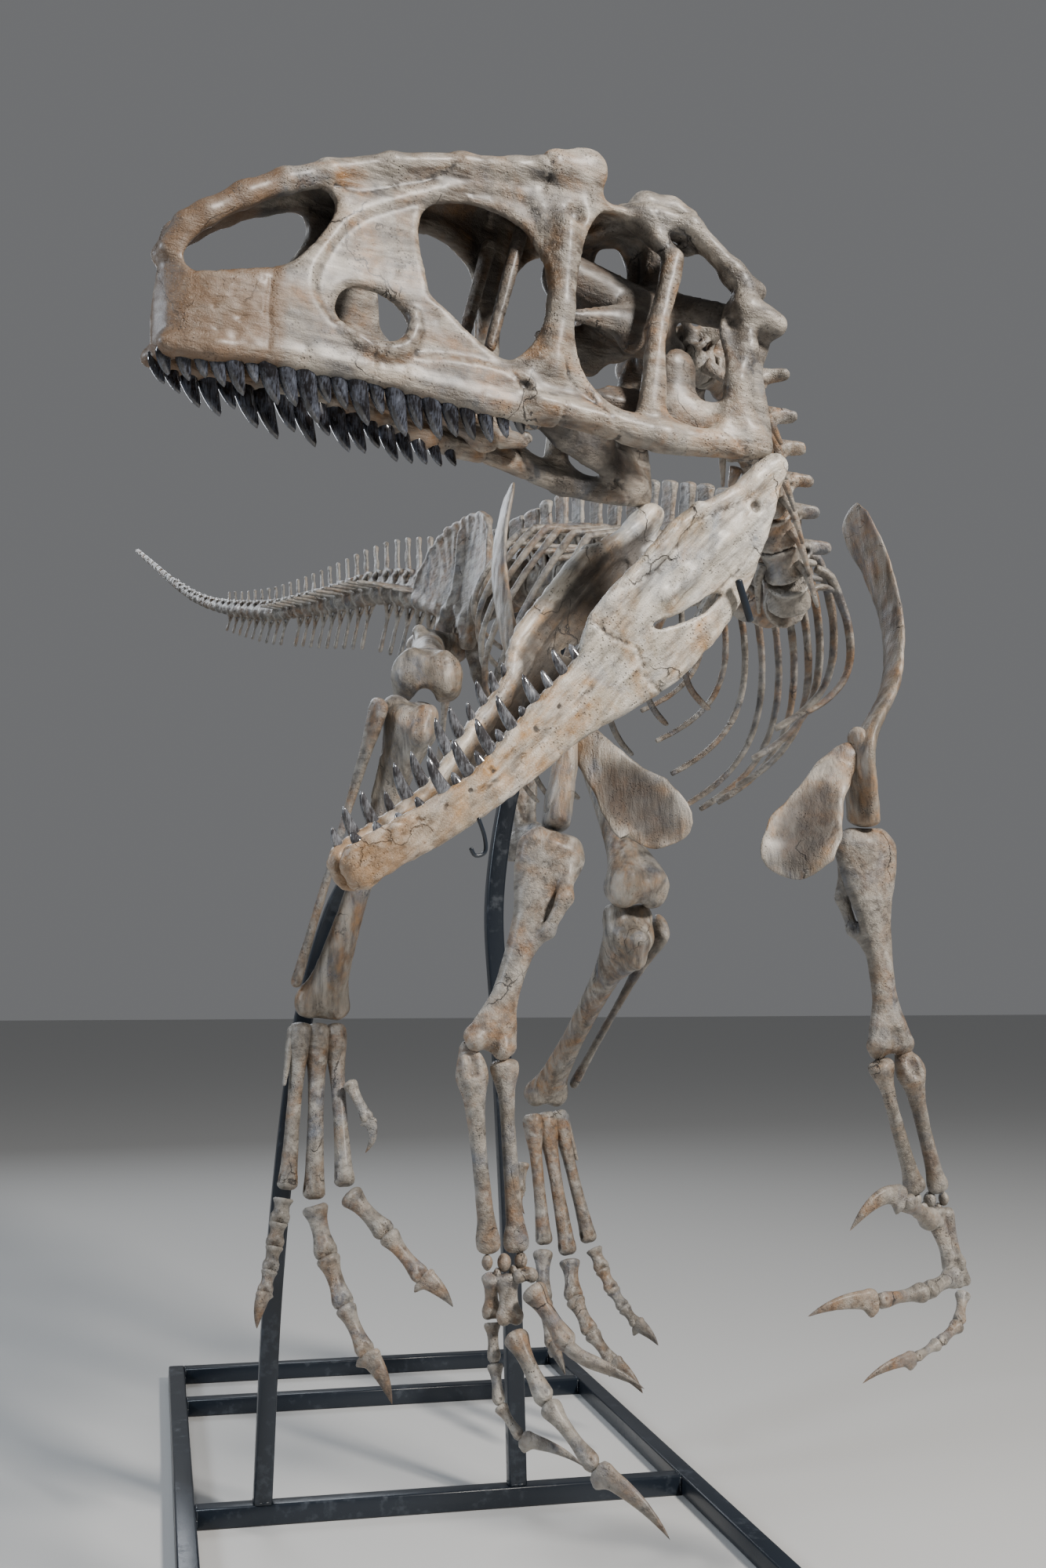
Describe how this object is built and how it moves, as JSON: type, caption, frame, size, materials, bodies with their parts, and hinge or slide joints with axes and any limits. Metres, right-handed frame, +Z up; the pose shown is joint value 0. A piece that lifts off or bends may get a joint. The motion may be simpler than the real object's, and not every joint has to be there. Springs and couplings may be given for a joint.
{
  "type": "mounted theropod dinosaur skeleton",
  "caption": "Life-size mounted skeleton of an Allosaurus, jaws wide open, walking pose with both feet lifted, held up by bent posts on a rectangular steel floor frame.",
  "frame": {"origin": "on the floor, under the frame's main cross bar, which carries both posts", "axes": "+X forwards along the floor frame, +Y the animal's left, +Z up"},
  "size_m": [6.4122, 1.5187, 3.269],
  "materials": {
    "skull_bone": "satin cast bone, pale with ochre stains and dark seams",
    "bone": "satin cast bone, grey",
    "limb_bone": "satin cast bone, grey with warm brown ends",
    "steel": "dark satin paint on square steel tube"
  },
  "bodies": {
    "root": {"chest_left": "bone", "chest_right": "bone", "femur_left": "limb_bone", "femur_right": "limb_bone", "fibula_left": "bone", "fibula_right": "bone", "finger_1_left": "bone", "finger_1_right": "bone", "finger_2_left": "bone", "finger_2_right": "bone", "finger_3_left": "bone", "finger_3_right": "bone", "humerus_left": "bone", "humerus_right": "bone", "ilium_left": "bone", "ilium_right": "bone", "ischia": "bone", "mandible_left": "skull_bone", "mandible_right": "skull_bone", "metacarpus_left": "bone", "metacarpus_right": "bone", "metatarsus_left": "bone", "metatarsus_right": "bone", "neck": "bone", "pubes": "bone", "radius_left": "bone", "radius_right": "bone", "sacrum": "bone", "shoulder_girdle_left": "limb_bone", "shoulder_girdle_right": "limb_bone", "skull": "skull_bone", "stand_cross_front": "steel", "stand_cross_main": "steel", "stand_cross_mid": "steel", "stand_cross_rear": "steel", "stand_post_leg": "steel", "stand_post_trunk": "steel", "stand_side_left": "steel", "stand_side_right": "steel", "tail_1": "bone", "tail_2": "bone", "tail_3": "bone", "tail_4": "bone", "tibia_left": "limb_bone", "tibia_right": "limb_bone", "toe_1_left": "bone", "toe_1_right": "bone", "toe_2_left": "bone", "toe_2_right": "bone", "toe_3_left": "bone", "toe_3_right": "bone", "toe_4_left": "bone", "toe_4_right": "bone", "ulna_left": "bone", "ulna_right": "bone"}
  },
  "joints": []
}
